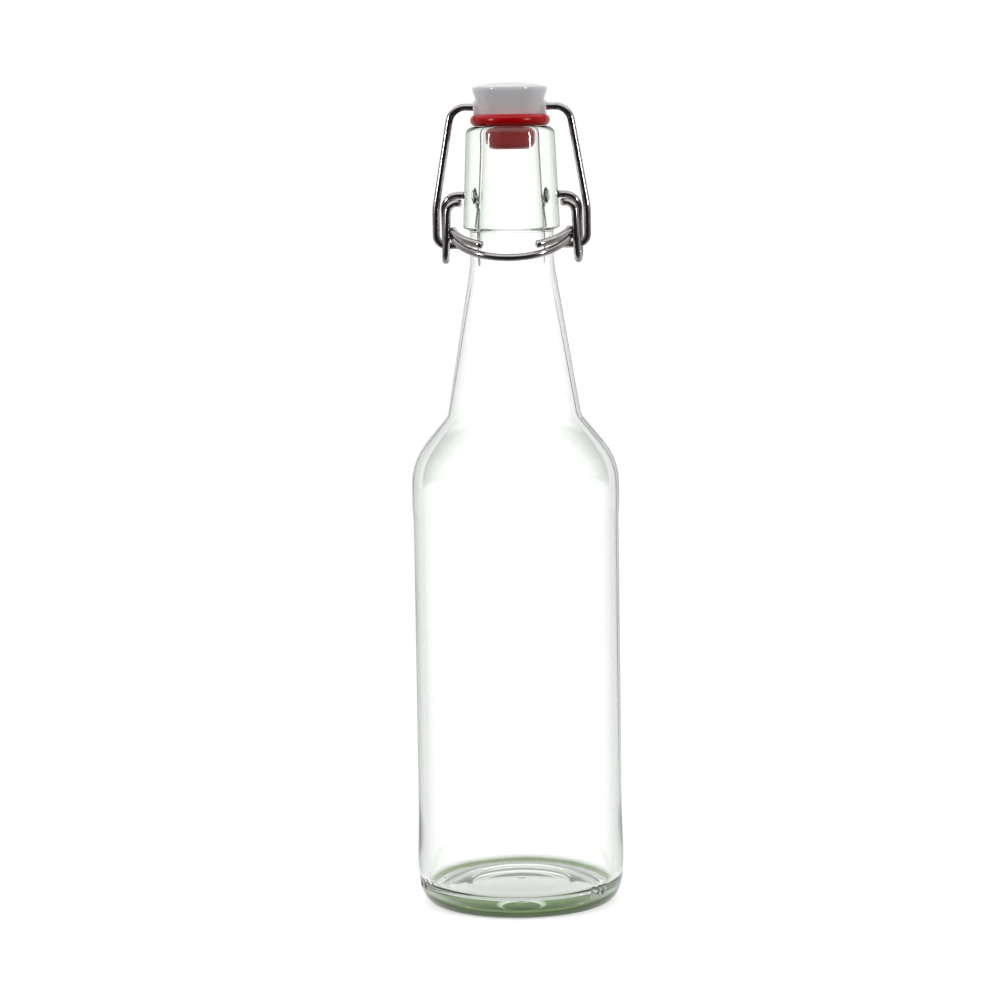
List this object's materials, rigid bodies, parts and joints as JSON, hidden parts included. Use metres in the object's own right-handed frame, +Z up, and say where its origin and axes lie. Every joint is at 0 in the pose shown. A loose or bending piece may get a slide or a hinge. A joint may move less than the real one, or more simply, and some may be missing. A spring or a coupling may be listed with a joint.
{
  "type": "swing-top bottle",
  "caption": "Clear glass swing-top bottle with a long tapered neck, a wire bail closure, a white conical stopper and a red rubber sealing gasket.",
  "frame": {"origin": "centre of the base, on the surface that the bottle stands on", "axes": "+Z up through the mouth, +X along the closure's hinge line, and -Y towards the thumb wire at the front"},
  "size_m": [0.0706, 0.0706, 0.2798],
  "materials": {
    "bottle_glass": "clear pressed and blown glass with a faint green tint where it is thick",
    "closure_wire": "bright drawn steel wire, lightly streaked along its length",
    "stopper_plastic": "glossy white moulded plastic",
    "gasket_rubber": "smooth red rubber with a soft sheen"
  },
  "bodies": {
    "bottle": {"bottle": "bottle_glass"},
    "lever": {"thumb_wire": "closure_wire", "left_side_link": "closure_wire", "right_side_link": "closure_wire"},
    "bail": {"bail_wire": "closure_wire"},
    "stopper": {"stopper": "stopper_plastic", "gasket": "gasket_rubber"}
  },
  "joints": [
    {"name": "lever_swing", "type": "hinge", "parent": "bottle", "child": "lever", "pos_m": [0, 0, 0.242], "axis": [-1, 0, 0], "range_deg": [0, 95]},
    {"name": "bail_swing", "type": "hinge", "parent": "lever", "child": "bail", "pos_m": [0, 0.0006, 0.2251], "axis": [1, 0, 0], "range_deg": [0, 65]},
    {"name": "stopper_swivel", "type": "hinge", "parent": "bail", "child": "stopper", "pos_m": [0, 0, 0.2715], "axis": [1, 0, 0], "range_deg": [0, 32]}
  ],
  "couplings": [
    {"joint": "bail_swing", "follows": "lever_swing", "ratio": 0.67},
    {"joint": "stopper_swivel", "follows": "lever_swing", "ratio": 0.33}
  ]
}
